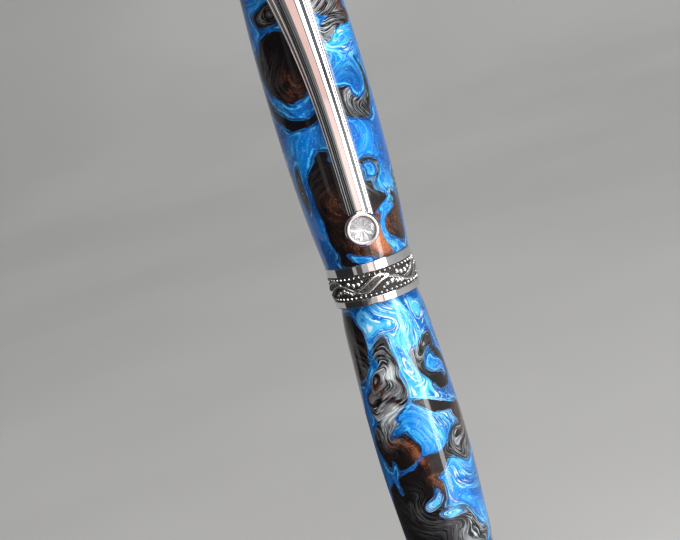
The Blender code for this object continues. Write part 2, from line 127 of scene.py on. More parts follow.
def lathe(name, outline, sides=FINE_SIDES, shape=None, sharp=35.0):
    """Turns a closed outline of (radius, height) points, anticlockwise with the radius to the right.

    `shape(azimuth, radius, height)` may return a new radius for each point off the axis.
    """
    outline = np.asarray(outline, float)
    azimuth = np.arange(sides) * (2 * math.pi / sides)
    points, first = [], []
    for radius, height in outline:
        first.append(len(points))
        if radius < POLE:
            points.append((0.0, 0.0, height))
            continue
        radii = np.full(sides, radius) if shape is None else shape(azimuth, radius, height)
        ring = np.column_stack((radii * np.sin(azimuth), -radii * np.cos(azimuth), np.full(sides, height)))
        points.extend(ring.tolist())
    faces = []
    for i in range(len(outline)):
        j = (i + 1) % len(outline)
        pole_i, pole_j = outline[i, 0] < POLE, outline[j, 0] < POLE
        if pole_i and pole_j:
            continue
        for k in range(sides):
            m = (k + 1) % sides
            loop = [first[i]] if pole_i else [first[i] + k, first[i] + m]
            loop += [first[j]] if pole_j else [first[j] + m, first[j] + k]
            faces.append(loop)
    return mesh_piece(name, points, faces, sharp)


def places_of(piece):
    """The piece's points in millimetres."""
    places = np.empty(len(piece.data.vertices) * 3, np.float32)
    piece.data.vertices.foreach_get("co", places)
    return places.reshape(-1, 3).astype(float) / MM


def keep_vector(piece, name, values):
    """Keeps three values for each point on the mesh, for Nodes.attribute() to read."""
    layer = piece.data.attributes.new(name, "FLOAT_VECTOR", "POINT")
    layer.data.foreach_set("vector", np.column_stack(values).astype(np.float32).ravel())


def settle(piece, nodes, body, material):
    """Gives a finished piece its material, and ties it to the CAD nodes that it stands for."""
    piece.data.materials.append(material)
    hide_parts(*nodes)
    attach(piece, body)
    return piece


# ---------------- node materials

class Nodes:
    """A material's node tree, with short forms for the nodes used here. Colours and values may be sockets."""

    def __init__(self, name):
        self.material = bpy.data.materials.new(name)
        self.material.use_nodes = True
        self.tree = self.material.node_tree
        self.surface = next(n for n in self.tree.nodes if n.type == "BSDF_PRINCIPLED")
        coordinates = self.add("ShaderNodeTexCoord")
        scale = self.add("ShaderNodeVectorMath", operation="SCALE")
        self.feed(scale.inputs[0], coordinates.outputs["Object"])
        scale.inputs["Scale"].default_value = 1 / MM
        self.place = scale.outputs[0]

    def add(self, kind, **settings):
        node = self.tree.nodes.new(kind)
        for key, value in settings.items():
            setattr(node, key, value)
        return node

    def feed(self, socket, value):
        if isinstance(value, bpy.types.NodeSocket):
            self.tree.links.new(value, socket)
        elif isinstance(value, tuple) and len(value) == 3 and socket.type == "RGBA":
            socket.default_value = (*value, 1.0)
        else:
            socket.default_value = value

    def math(self, operation, a, b=0.0, clamp=False):
        node = self.add("ShaderNodeMath", operation=operation, use_clamp=clamp)
        self.feed(node.inputs[0], a)
        self.feed(node.inputs[1], b)
        return node.outputs[0]

    def times(self, a, b, clamp=False):
        return self.math("MULTIPLY", a, b, clamp)

    def plus(self, a, b, clamp=False):
        return self.math("ADD", a, b, clamp)

    def blend(self, factor, a, b):
        """Colour a, turning to colour b as the factor goes to 1."""
        node = self.add("ShaderNodeMix", data_type="RGBA")
        self.feed(node.inputs[0], factor)
        self.feed(node.inputs[6], a)
        self.feed(node.inputs[7], b)
        return node.outputs[2]

    def step(self, value, low, high, top=1.0):
        """0 below low, `top` above high, and a soft step between."""
        node = self.add("ShaderNodeMapRange", interpolation_type="SMOOTHSTEP")
        for socket, number in zip(node.inputs[:5], (value, low, high, 0.0, top)):
            self.feed(socket, number)
        return node.outputs[0]

    def peak(self, value, centre, reach):
        """1 at the centre, falling to 0 at `reach` on both sides."""
        distance = self.math("ABSOLUTE", self.math("SUBTRACT", value, centre))
        return self.math("SUBTRACT", 1.0, self.step(distance, 0.0, reach))

    def noise(self, per_mm, detail=2.0, place=None, along=None, roughness=0.5, distortion=0.0):
        """Noise with that many cells per millimetre. `along` draws it out along the lines of that value."""
        node = self.add("ShaderNodeTexNoise", noise_dimensions="3D" if along is None else "4D")
        self.feed(node.inputs["Vector"], self.place if place is None else place)
        node.inputs["Scale"].default_value = per_mm
        node.inputs["Detail"].default_value = detail
        node.inputs["Roughness"].default_value = roughness
        node.inputs["Distortion"].default_value = distortion
        if along is not None:
            self.feed(node.inputs["W"], along)
        return node.outputs["Fac"]

    def stretched(self, x, y, z):
        """Object coordinates in millimetres, scaled along each axis."""
        node = self.add("ShaderNodeVectorMath", operation="MULTIPLY")
        self.feed(node.inputs[0], self.place)
        node.inputs[1].default_value = (x, y, z)
        return node.outputs[0]

    def attribute(self, name):
        """The three values of a vector attribute on the mesh."""
        read = self.add("ShaderNodeAttribute", attribute_name=name)
        split = self.add("ShaderNodeSeparateXYZ")
        self.feed(split.inputs[0], read.outputs["Vector"])
        return split.outputs

    def bump(self, height, strength, distance):
        node = self.add("ShaderNodeBump")
        node.inputs["Strength"].default_value = strength
        node.inputs["Distance"].default_value = distance * MM
        self.feed(node.inputs["Height"], height)
        return node.outputs[0]

    def shade(self, **sockets):
        for name, value in sockets.items():
            self.feed(self.surface.inputs[name.replace("_", " ")], value)
        return self.material


def resin_material():
    """Cast acrylic: azure poured into ink black, with silky mica streaks along the flow, polished; the mica
    flakes get painted glints, and the strongest silver mica gets a painted sheen.
    """
    n = Nodes("poured_resin")
    ink, flow, deep = n.attribute("pour")
    pearl, copper, silver = n.attribute("mica")
    silk = n.noise(0.10, 2.0, along=n.times(flow, 5.0), distortion=0.08)
    thread = n.noise(0.17, 3.0, along=n.times(flow, 12.0), roughness=0.6, distortion=0.08)
    hair = n.noise(0.42, 2.0, along=n.times(flow, 14.0), roughness=0.6)
    # the fine grain below places the painted mica glints
    grain = n.noise(3.2, 2.0, along=n.times(flow, 1.2), roughness=0.7)
    speck = n.noise(6.5, 2.0, along=n.times(flow, 1.5), roughness=0.75)
    cloud = n.noise(0.45, 3.0)
    feather = n.times(n.math("SUBTRACT", thread, 0.5), 1.3)
    edge = n.plus(ink, feather)

    hollow = n.math("SUBTRACT", 0.6, n.step(silk, 0.34, 0.50))
    shadow = n.math("MAXIMUM", n.times(deep, 0.9), hollow)
    blue = n.blend(n.times(shadow, 1.0, clamp=True), AZURE, DEEP_BLUE)
    blue = n.blend(n.times(n.step(silk, 0.40, 0.62), pearl, clamp=True), blue, BRIGHT_BLUE)
    blue = n.blend(n.times(n.peak(silk, 0.44, 0.03), 0.45), blue, NAVY)
    satin = n.times(n.step(thread, 0.47, 0.62), n.plus(pearl, 0.08, clamp=True))
    blue = n.blend(satin, blue, CYAN)
    lace = n.times(n.step(hair, 0.53, 0.64), n.step(pearl, 0.25, 0.95))
    blue = n.blend(n.times(lace, 0.9), blue, ICE)
    # Painted glints: the mica flakes are real, but they are drawn as near-white dots, as if catching the
    # light, and are stronger in the pearl clouds
    painted_glint_weight = n.plus(n.times(pearl, 0.7), 0.3, clamp=True)
    blue = n.blend(n.times(n.step(grain, 0.61, 0.70), painted_glint_weight), blue, ICE)

    mist = n.times(n.step(cloud, 0.36, 0.60), n.plus(copper, 0.12, clamp=True))
    dark = n.blend(mist, INK, UMBER)
    rust = n.times(n.step(speck, 0.49, 0.62), n.step(cloud, 0.36, 0.58))
    rust = n.times(rust, n.plus(n.step(thread, 0.42, 0.60), 0.20))
    thick = n.times(n.step(copper, 1.0, 2.4, 0.6), n.step(speck, 0.36, 0.58))
    rust = n.math("MAXIMUM", rust, thick)
    dust = n.times(rust, copper, clamp=True)
    dark = n.blend(dust, dark, COPPER)
    sheet = n.times(n.step(thread, 0.47, 0.66), silver, clamp=True)
    dark = n.blend(sheet, dark, SILVER)
    # Painted sheen: where the silver mica is strongest, a smooth near-white fill stands in for light
    # reflected off it
    silky = n.plus(n.step(silk, 0.40, 0.60, 0.6), 0.4)
    dark = n.blend(n.times(n.step(silver, 1.1, 2.0, 0.85), silky), dark, PAINTED_SHEEN)
    wisps = n.times(n.step(hair, 0.54, 0.66), silver, clamp=True)
    dark = n.blend(n.times(wisps, 0.8), dark, ICE)

    colour = n.blend(n.step(edge, -0.14, 0.12), dark, blue)
    colour = n.blend(n.times(n.peak(edge, 0.26, 0.28), 0.7), colour, NAVY)
    rim = n.times(n.peak(edge, 0.56, 0.24), n.step(cloud, 0.42, 0.58))
    colour = n.blend(n.times(rim, 0.8), colour, CYAN)

    metal = n.plus(n.times(satin, 0.25), n.times(dust, 0.4), clamp=True)
    n.surface.inputs["Specular IOR Level"].default_value = 0.08
    n.shade(Roughness=n.plus(n.step(thread, 0.3, 0.7, 0.15), 0.28),
            Normal=n.bump(n.plus(thread, hair), 0.25, 0.12))
    return n.shade(Base_Color=colour, Metallic=metal, Coat_Weight=1.0, Coat_Roughness=0.015, Coat_IOR=1.52)


def chrome_material():
    """Mirror plating with faint polishing hairlines and handling haze."""
    n = Nodes("polished_chrome")
    haze = n.noise(0.22, 4.0, roughness=0.6)
    hairline = n.noise(1.0, 2.0, place=n.stretched(9.0, 9.0, 0.5))
    colour = n.blend(n.step(haze, 0.35, 0.7), (0.80, 0.81, 0.83), (0.87, 0.87, 0.88))
    roughness = n.plus(n.step(haze, 0.45, 0.8, 0.035), n.step(hairline, 0.55, 0.8, 0.03))
    return n.shade(Base_Color=colour, Metallic=1.0, Roughness=n.plus(roughness, 0.035),
                   Normal=n.bump(hairline, 0.04, 0.01))


def pewter_material():
    """Cast relief: rubbed bright on its raised parts, blackened in its ground."""
    n = Nodes("antiqued_relief")
    raised, _, _ = n.attribute("relief")
    cast = n.noise(3.0, 3.0, roughness=0.6)
    worn = n.plus(raised, n.times(n.math("SUBTRACT", cast, 0.5), 0.22))
    colour = n.blend(n.step(worn, 0.20, 0.52), (0.014, 0.012, 0.012), (0.86, 0.84, 0.82))
    roughness = n.math("SUBTRACT", 0.50, n.step(worn, 0.2, 0.6, 0.34))
    metal = n.step(worn, 0.10, 0.40)
    return n.shade(Base_Color=colour, Metallic=metal, Roughness=roughness, Normal=n.bump(cast, 0.12, 0.05))


def brass_material():
    """Brass with fine turning lines and patches of tarnish."""
    n = Nodes("turned_brass")
    lines = n.noise(1.0, 3.0, place=n.stretched(0.3, 0.3, 11.0))
    tarnish = n.noise(0.3, 4.0)
    colour = n.blend(n.step(tarnish, 0.4, 0.7), (0.72, 0.50, 0.20), (0.50, 0.31, 0.11))
    roughness = n.plus(n.step(lines, 0.3, 0.7, 0.15), 0.2)
    return n.shade(Base_Color=colour, Metallic=1.0, Roughness=roughness, Normal=n.bump(lines, 0.2, 0.03))


def black_resin_material():
    """Polished black acrylic with a few mica flecks deep in it."""
    n = Nodes("black_resin")
    cloud = n.noise(0.35, 3.0)
    fleck = n.noise(5.0, 1.0)
    colour = n.blend(n.step(cloud, 0.4, 0.7), (0.006, 0.006, 0.008), (0.020, 0.019, 0.022))
    colour = n.blend(n.step(fleck, 0.72, 0.78, 0.5), colour, COPPER)
    return n.shade(Base_Color=colour, Roughness=n.plus(n.step(cloud, 0.3, 0.7, 0.12), 0.16),
                   Coat_Weight=1.0, Coat_Roughness=0.03)


def plastic_material():
    """Black moulded plastic with a fine grain."""
    n = Nodes("moulded_plastic")
    grain = n.noise(4.0, 3.0)
    colour = n.blend(n.step(grain, 0.35, 0.7), (0.012, 0.012, 0.013), (0.026, 0.026, 0.028))
    return n.shade(Base_Color=colour, Roughness=n.plus(n.step(grain, 0.3, 0.7, 0.12), 0.42),
                   Normal=n.bump(grain, 0.15, 0.03))


def rubber_material():
    """Black rubber with a grey bloom."""
    n = Nodes("o_ring_rubber")
    bloom = n.noise(1.6, 4.0)
    colour = n.blend(n.step(bloom, 0.4, 0.75), (0.012, 0.012, 0.012), (0.035, 0.034, 0.033))
    return n.shade(Base_Color=colour, Roughness=n.plus(n.step(bloom, 0.3, 0.7, 0.15), 0.6),
                   Normal=n.bump(bloom, 0.2, 0.05))


def glass_material():
    """Flame-worked glass with a blue cast that thickens in soft bands along it."""
    n = Nodes("nib_glass")
    band = n.noise(0.35, 2.0, place=n.stretched(1.0, 1.0, 0.35))
    colour = n.blend(n.step(band, 0.35, 0.65), (0.86, 0.96, 1.0), (0.45, 0.78, 1.0))
    return n.shade(Base_Color=colour, Roughness=n.step(band, 0.2, 0.9, 0.03), IOR=1.5,
                   Transmission_Weight=1.0)


def crystal_material():
    """Clear cut crystal with a trace of cloud."""
    n = Nodes("cut_crystal")
    cloud = n.noise(1.4, 2.0)
    colour = n.blend(n.step(cloud, 0.4, 0.7), (1.0, 1.0, 1.0), (0.93, 0.96, 1.0))
    return n.shade(Base_Color=colour, Roughness=n.step(cloud, 0.3, 0.9, 0.012), IOR=1.6,
                   Transmission_Weight=0.92)


def foil_material():
    """Silver foil behind the crystal."""
    n = Nodes("crystal_foil")
    crinkle = n.noise(1.1, 2.0)
    colour = n.blend(n.step(crinkle, 0.35, 0.7), (0.92, 0.92, 0.93), (0.99, 0.99, 0.99))
    return n.shade(Base_Color=colour, Metallic=n.math("SUBTRACT", 0.75, n.step(crinkle, 0.3, 0.6, 0.35)),
                   Roughness=n.plus(n.step(crinkle, 0.3, 0.8, 0.10), 0.16))


# ---------------- poured resin

class Pour(NamedTuple):
    """An oval of one colour that has sunk into the other; sizes are half-sizes in millimetres."""
    azimuth: float
    height: float
    wide: float
    tall: float
    lean: float
    dark: bool = True


class Mica(NamedTuple):
    """A cloud of pearl, copper or silver mica; pearl also strengthens the painted glints, and strong silver
    lays down a painted sheen.
    """
    kind: str
    azimuth: float
    height: float
    reach: float
    strength: float


def mica(kind, *spots):
    """Mica clouds of one kind, from (azimuth, height, reach, strength) of each."""
    return tuple(Mica(kind, *spot) for spot in spots)


class Whirl(NamedTuple):
    """A place where the resin was stirred, by `turn` radians at its centre."""
    azimuth: float
    height: float
    reach: float
    turn: float


CAP_WHIRLS = (
    Whirl(31, 92.0, 2.6, 1.8), Whirl(42, 105.5, 3.4, 1.1), Whirl(36, 114.0, 3.0, -1.0),
    Whirl(46, 84.5, 3.0, 1.2), Whirl(170, 96.0, 4.0, 2.2), Whirl(130, 112.0, 3.5, -1.8),
    Whirl(-140, 86.0, 3.5, 1.7),
)
BARREL_WHIRLS = (
    Whirl(-22, 59.6, 2.2, 0.9), Whirl(52, 58.5, 3.2, -1.3), Whirl(20, 64.5, 4.0, 0.8),
    Whirl(-32, 47.0, 3.4, -1.1), Whirl(56, 45.5, 3.0, 1.4), Whirl(24, 29.5, 3.2, 1.8),
    Whirl(-12, 36.0, 2.6, 1.3), Whirl(165, 40.0, 4.0, 2.0), Whirl(-130, 55.0, 3.6, -1.9),
    Whirl(120, 24.0, 3.4, 1.8),
)
CAP_POURS = (
    Pour(-34, 110.0, 7.4, 8.2, 0), Pour(-34, 111.7, 7.2, 8.0, 0, False), Pour(-36, 112.2, 5.5, 6.0, 0),
    Pour(-38, 120.6, 2.7, 1.8, -10), Pour(-22, 89.0, 3.3, 8.4, 4), Pour(-14, 81.5, 4.3, 4.6, 10),
    Pour(-5, 96.0, 1.3, 1.2, 0, False), Pour(-47, 81.5, 1.2, 3.4, -12, False),
    Pour(-9, 78.6, 2.0, 0.8, 25, False), Pour(44, 121.2, 4.4, 3.2, 0), Pour(46, 116.6, 4.4, 1.7, -8),
    Pour(41, 105.4, 5.0, 4.3, 35), Pour(31, 107.8, 4.8, 3.0, 38, False), Pour(29, 92.0, 2.5, 2.4, 0),
    Pour(30, 92.0, 1.6, 1.5, 0, False), Pour(56, 84.0, 2.2, 4.8, -10), Pour(24, 87.3, 1.5, 3.8, 18),
    Pour(21, 80.9, 2.7, 3.0, 0), Pour(39, 82.5, 0.8, 4.6, 8, False), Pour(-60, 92.0, 1.0, 3.6, 12),
)
CAP_MICA = (
    *mica("pearl", (36, 113.6, 4.0, 1.2), (24, 98.0, 3.6, 0.4), (-62, 99.5, 3.2, 0.25),
          (-40, 97.5, 3.0, 0.15), (44, 88.5, 3.2, 0.8), (-50, 104.0, 2.4, 0.4), (36, 79.5, 2.0, 0.8),
          (-40, 124.0, 3.0, 0.3)),
    *mica("copper", (-30, 108.6, 2.2, 0.5), (-18, 87.6, 2.2, 0.6), (21, 80.4, 2.6, 3.0),
          (52, 84.0, 2.6, 1.0), (48, 118.6, 2.6, 0.8), (-10, 82.0, 2.0, 0.3)),
    # silver clouds that add up past about 1.1 also carry the painted sheen
    *mica("silver", (34, 116.6, 2.6, 0.9), (42, 105.2, 3.2, 1.1), (32, 92.0, 2.6, 0.5),
          (28, 121.0, 3.4, 0.45), (-38, 120.6, 1.6, 0.25), (44, 105.6, 1.5, 1.3)),
)
BARREL_POURS = (
    Pour(-66, 64.0, 3.1, 5.8, 4), Pour(-27, 55.6, 3.4, 5.2, 14), Pour(-20, 60.6, 2.5, 3.2, 10),
    Pour(51, 59.0, 3.0, 5.4, 0), Pour(56, 58.2, 1.8, 3.3, 0, False), Pour(66, 57.6, 0.8, 1.5, 0),
    Pour(34, 51.2, 5.2, 0.8, 24), Pour(-40, 46.6, 4.4, 4.4, -30), Pour(8, 42.2, 5.4, 1.9, -12),
    Pour(60, 45.5, 3.2, 5.4, 0), Pour(-30, 33.5, 7.0, 8.2, 0), Pour(13, 47.2, 4.3, 2.8, -8, False),
    Pour(-18, 48.6, 2.4, 0.9, -6, False), Pour(-9, 36.4, 1.1, 2.3, 10, False),
    Pour(8, 32.6, 1.2, 2.2, -6, False), Pour(-52, 41.5, 0.5, 3.6, -14, False),
    Pour(38, 37.4, 4.5, 4.3, 0, False), Pour(24, 28.8, 4.3, 3.3, 0), Pour(-18, 19.0, 5.0, 3.4, 20),
    Pour(40, 15.5, 3.0, 3.0, 0),
)
BARREL_MICA = (
    *mica("pearl", (-4, 65.0, 5.0, 1.2), (24, 66.0, 4.4, 1.1), (8, 58.0, 4.4, 1.2), (30, 54.5, 3.4, 1.0),
          (14, 47.5, 3.6, 0.5), (36, 38.0, 4.4, 0.8), (-9, 36.6, 2.2, 1.0), (6, 32.4, 2.4, 0.8),
          (48, 50.0, 3.0, 0.8), (52, 30.0, 2.6, 0.8)),
    *mica("copper", (-36, 47.6, 1.2, 1.2), (-28, 45.8, 1.2, 1.6), (-19, 43.9, 1.3, 1.7),
          (-9, 42.8, 1.2, 1.4), (1.5, 39.6, 1.3, 1.3), (60, 47.6, 2.6, 0.9), (-34, 56.0, 2.8, 0.5)),
    # silver clouds that add up past about 1.1 also carry the painted sheen
    *mica("silver", (-20, 60.0, 2.6, 1.1), (-30, 52.6, 3.2, 1.2), (56, 44.0, 3.0, 0.8),
          (28, 31.6, 3.0, 1.0), (46, 62.8, 2.6, 0.5), (-24, 34.0, 3.6, 0.10), (-22, 51.2, 2.4, 1.2),
          (-15, 59.8, 1.2, 1.4)),
)
ROW_HEIGHT = 0.25               # of the sleeves' fine meshes
BACK_POURS = 16
BACK_FROM, BACK_TO = 92, 262    # azimuths of the side away from the clip
LEAN, STRAY_TURN, STRAY = 40, 22, 3     # the most that a back pour leans, and its pale heart strays


def waves(places, wavelength, seed, count=22):
    """Smooth random waves in space, about one unit high."""
    rng = np.random.default_rng(seed)
    ways = rng.normal(size=(count, 3))
    ways *= (2 * math.pi / wavelength * rng.uniform(0.7, 1.4, count) / np.linalg.norm(ways, axis=1))[:, None]
    return np.sin(places @ ways.T + rng.uniform(0, 2 * math.pi, count)).sum(1) * math.sqrt(2 / count)


def back_pours(low, high, seed):
    """More pours round the side away from the clip, between two heights, each with a pale heart."""
    rng = np.random.default_rng(seed)
    pours = []
    for i in range(BACK_POURS):
        height = low + (high - low) * (i + rng.uniform(0.1, 0.9)) / BACK_POURS
        azimuth = rng.uniform(BACK_FROM, BACK_TO)
        wide, tall = rng.uniform(2.4, 5.4), rng.uniform(3.0, 7.0)
        pours.append(Pour(azimuth, height, wide, tall, rng.uniform(-LEAN, LEAN)))
        azimuth += rng.uniform(-STRAY_TURN, STRAY_TURN)
        height += rng.uniform(-STRAY, STRAY)
        pours.append(Pour(azimuth, height, wide * 0.5, tall * 0.45, rng.uniform(-LEAN, LEAN), False))
    return tuple(pours)


def back_mica(pours, seed):
    """A mica cloud over each of the back's pours: copper or silver in a dark one, pearl in a pale one."""
    rng = np.random.default_rng(seed)
    kinds = {True: ("copper", "silver"), False: ("pearl", "pearl")}
    return tuple(Mica(kinds[p.dark][rng.integers(2)], p.azimuth, p.height, p.tall, rng.uniform(0.5, 1.1))
                 for p in pours)


def stirred(azimuth, height, radius, whirls):
    """Azimuths and heights after the resin is turned about each whirl, least at its edge."""
    for whirl in whirls:
        x = radius * turn_from(whirl.azimuth, azimuth)
        z = height - whirl.height
        turn = whirl.turn * np.exp(-(x * x + z * z) / whirl.reach ** 2)
        azimuth = math.radians(whirl.azimuth) + (x * np.cos(turn) - z * np.sin(turn)) / radius
        height = whirl.height + x * np.sin(turn) + z * np.cos(turn)
    return azimuth, height


def smooth_least(a, b, reach):
    """The lesser of two fields, rounded over where they are about equal."""
    share = np.clip(0.5 + 0.5 * (b - a) / reach, 0, 1)
    return b + (a - b) * share - reach * share * (1 - share)


def pour_resin(piece, pours, clouds, whirls, seed):
    """Works out where the two colours and the mica lie, and keeps it on the mesh for the material."""
    places = places_of(piece)
    count = len(places)
    radius = np.hypot(places[:, 0], places[:, 1])
    azimuth, height = stirred(np.arctan2(places[:, 0], -places[:, 1]), places[:, 2], radius, whirls)
    places = np.column_stack((radius * np.sin(azimuth), -radius * np.cos(azimuth), height))
    across = 0.30 * waves(places, 12.0, seed) + 0.14 * waves(places, 4.2, seed + 1)
    up = 0.30 * waves(places, 12.0, seed + 2) + 0.14 * waves(places, 4.2, seed + 3)

    def offsets(spot):
        return radius * turn_from(spot.azimuth, azimuth) + across, height - spot.height + up

    ink = np.full(count, 4.0)
    for pour in pours:
        x, z = offsets(pour)
        cos, sin = math.cos(math.radians(pour.lean)), math.sin(math.radians(pour.lean))
        reach = np.hypot((x * cos - z * sin) / pour.wide, (x * sin + z * cos) / pour.tall)
        distance = (reach - 1) * math.sqrt(pour.wide * pour.tall)
        ink = smooth_least(ink, distance, 0.7) if pour.dark else -smooth_least(-ink, distance, 0.5)
    stream = 2.4 * waves(places, 16.0, seed + 5) + 0.25 * waves(places, 6.0, seed + 6)
    flow = 1.5 * np.tanh(ink / 1.1) + stream
    deep = np.clip(0.25 + 0.45 * waves(places, 9.0, seed + 7), 0, 1)
    level = {"pearl": np.zeros(count), "copper": np.zeros(count), "silver": np.zeros(count)}
    for cloud in clouds:
        x, z = offsets(cloud)
        level[cloud.kind] += cloud.strength * np.exp(-(x * x + z * z) / cloud.reach ** 2)
    deep *= 1 - np.clip(level["pearl"], 0, 1)
    keep_vector(piece, "pour", (ink, flow, deep))
    keep_vector(piece, "mica", tuple(level.values()))


def resin_sleeve(name, stations, bore, sides):
    """A polished sleeve through (height, radius) stations, with a dense wall for its pattern to lie on."""
    low, high = stations[0][0], stations[-1][0]
    lip = 0.12
    heights = np.linspace(low + lip, high - lip, int((high - low) / ROW_HEIGHT))
    radii = smooth_curve(stations, heights)
    wall = list(zip(radii, heights))
    foot = [(bore, low), (radii[0] - lip, low), (radii[0] - 0.3 * lip, low + 0.3 * lip)]
    head = [(radii[-1] - 0.3 * lip, high - 0.3 * lip), (radii[-1] - lip, high), (bore, high)]
    return lathe(name, foot + wall + head, sides)


def make_sleeves():
    resin = resin_material()
    barrel = resin_sleeve("barrel_resin", BARREL_LINE, BARREL_BORE, 200)
    pours = BARREL_POURS + back_pours(12, 68, 31)
    pour_resin(barrel, pours, BARREL_MICA + back_mica(pours[len(BARREL_POURS):], 32), BARREL_WHIRLS, 33)
    settle(barrel, ["barrel_sleeve"], "barrel", resin)
    cap = resin_sleeve("cap_resin", CAP_LINE, CAP_BORE, 220)
    pours = CAP_POURS + back_pours(80, 128, 41)
    pour_resin(cap, pours, CAP_MICA + back_mica(pours[len(CAP_POURS):], 42), CAP_WHIRLS, 43)
    settle(cap, ["cap_sleeve"], "cap", resin)


# ---------------- turned parts

# Lines through (height, radius) stations
BARREL_LINE = ((9.68, 5.97), (21, 6.85), (32, 7.48), (41, 7.83), (50, 7.8), (61, 7.38), (67.6, 7.0),
               (70.92, 6.5))
CAP_LINE = ((77.93, 7.23), (84, 7.8), (94, 8.33), (104, 8.475), (114, 8.38), (121, 8.1), (126, 7.8),
            (130.8, 7.35))
GRIP_LINE = ((81.4, 4.86), (83, 4.7), (87, 4.35), (91, 4.12), (94.5, 4.2), (96.6, 4.45), (97.5, 4.25))
NIB_LINE = ((99.2, 2.0), (99.9, 2.5), (101.4, 3.1), (102.9, 3.02), (104.4, 2.75), (106.4, 2.4), (108.4, 2.0),
            (110.4, 1.55), (112.4, 1.05), (114.0, 0.6), (114.9, 0.3), (115.15, 0.08))
BARREL_BORE, CAP_BORE = 5.35, 6.25

# Screw threads: the wall that each is cut in, its two ends, and its depth
THREAD_STEP, RUN_OUT = 0.1, 0.5
CAP_LEAD, CAP_STARTS = 2.4, 2
TENON_LEAD, TENON_STARTS = 1.0, 1
NECK_R, NECK_LOW, NECK_HIGH, NECK_DEPTH = 5.05, 75.3, 79.1, 0.3
TENON_R, TENON_LOW, TENON_HIGH, TENON_DEPTH = 3.92, 63.0, 78.6, 0.28
INSERT_R, INSERT_LOW, INSERT_HIGH, INSERT_DEPTH = 5.13, 75.2, 80.4, -0.27
INSERT_END = 0.3                # how far the insert's fine rows go on past its thread

# Outlines through (radius, height, ease) corners
TAIL_OUTLINE = (
    (0, 0, 0), (4.5, 0, 0.5), (5.8, 1.3, 0.8), (5.75, 3.4, 0.5), (5.35, 4.1, 0.35), (5.35, 5.1, 0.35),
    (5.9, 5.8, 0.4), (6.05, 6.6, 0.3), (6.05, 8.22, 0.15), (3.0, 8.22, 0), (3.0, 15.5, 0.2), (0, 15.5, 0))
TRIM_OUTLINE = ((3.05, 8.24, 0), (6.0, 8.24, 0.15), (6.04, 8.95, 0.5), (6.0, 9.66, 0.15), (3.05, 9.66, 0))
COUPLER_OUTLINE = (
    (4.0, 58, 0.1), (5.0, 58, 0.2), (5.0, 71, 0), (6.2, 71, 0.1), (6.2, 71.9, 0.1), (4.75, 71.9, 0.15),
    (4.75, NECK_LOW, 0.1), (NECK_R, NECK_LOW, 0), (NECK_R, NECK_HIGH, 0), (4.55, 79.8, 0.1), (4.0, 79.8, 0.1))
GRIP_FOOT = (
    (2.2, 62.5, 0), (TENON_R, 62.5, 0.3), (TENON_R, 79.1, 0.15), (3.57, 79.1, 0.1), (3.57, 80.4, 0.1),
    (4.9, 80.4, 0.2), (4.9, 81.4, 0.15), (4.0, 90, 0))
GRIP_SEAT = ((4.15, 97.48), (3.4, 97.5), (3.4, 84.8), (2.2, 84.8))
GRIP_RING_OUTLINE = (
    (2.4, 97.55, 0.1), (4.05, 97.55, 0.2), (4.12, 98.2, 0.3), (3.95, 98.85, 0.25), (2.4, 98.85, 0.1))
BAND_OUTLINE = (
    (6.3, 71, 0.08), (7.3, 71, 0.14), (7.3, 72.2, 0.12), (6.75, 72.2, 0), (6.75, 77.85, 0), (5.9, 77.9, 0),
    (5.9, 84.6, 0.1), (5.55, 84.6, 0.1), (5.55, 72.13, 0.1), (6.3, 72.13, 0.1))
UPPER_RING_OUTLINE = ((6.77, 76.33, 0), (7.3, 76.33, 0.1), (7.3, 77.91, 0.14), (6.77, 77.91, 0))
INSERT_OUTLINE = ((INSERT_R, 74.9, 0.05), (5.5, 74.9, 0.1), (5.5, 80.6, 0.1), (INSERT_R, 80.6, 0.05))
WASHER_R, WASHER_RIM = 7.05, 6  # the rim is all that lies outside the second radius
WASHER_OUTLINE = ((3.05, 130.78, 0), (WASHER_R, 130.78, 0.15), (WASHER_R, 132.48, 0.2), (3.05, 132.48, 0))
CROWN_FOOT = (
    (0, 126, 0), (3.0, 126, 0.3), (3.0, 132.48, 0), (6.95, 132.48, 0.2), (7.0, 133.5, 0.3),
    (6.55, 134.05, 0.2), (6.15, 134.4, 0.25), (6.15, 135.2, 0.25), (6.6, 135.7, 0.3), (6.8, 136.9, 0.3),
    (0, 141, 0))

# The washer's tab, under the clip's root
TAB_TURN, TAB_REACH, TAB_HALF_WIDTH = 10.0, 7.4, 3.9

# The nib's flutes; the twist is in radians for each millimetre
FLUTES, FLUTE_DEPTH, FLUTE_TWIST, FLUTE_ORIGIN = 8, 0.17, 0.09, 101
FLUTES_LOW, FLUTES_HIGH = 100.6, 114.7


def subdivided(outline, low, high):
    """The outline with its edges between two heights cut into short steps, for a thread to be cut in."""
    fine = []
    for here, after in zip(outline, np.roll(outline, -1, axis=0)):
        inside = low - 0.01 <= min(here[1], after[1]) and max(here[1], after[1]) <= high + 0.01
        cuts = max(1, int(np.linalg.norm(after - here) / THREAD_STEP)) if inside else 1
        fine.extend(here + (after - here) * t for t in np.arange(cuts) / cuts)
    return np.array(fine)


def thread(crest, low, high, lead, starts, depth):
    """A shape for lathe() that cuts a thread into the wall of radius `crest`; depth < 0 cuts outwards."""

    def shape(azimuth, radius, height):
        radii = np.full(len(azimuth), radius)
        if abs(radius - crest) < 0.02 and low <= height <= high:
            ends = min(1.0, (height - low) / RUN_OUT, (high - height) / RUN_OUT)
            turns = starts * ((height - low) / lead - azimuth / (2 * math.pi))
            radii -= depth * max(ends, 0.0) * (0.5 - 0.5 * np.cos(2 * math.pi * turns)) ** 0.7
        return radii

    return shape


def arc(centre, radius, start, end, steps=14):
    """Points of an arc in (radius, height), between two angles in degrees."""
    angles = np.radians(np.linspace(start, end, steps))
    return [(centre[0] + radius * math.cos(a), centre[1] + radius * math.sin(a)) for a in angles]


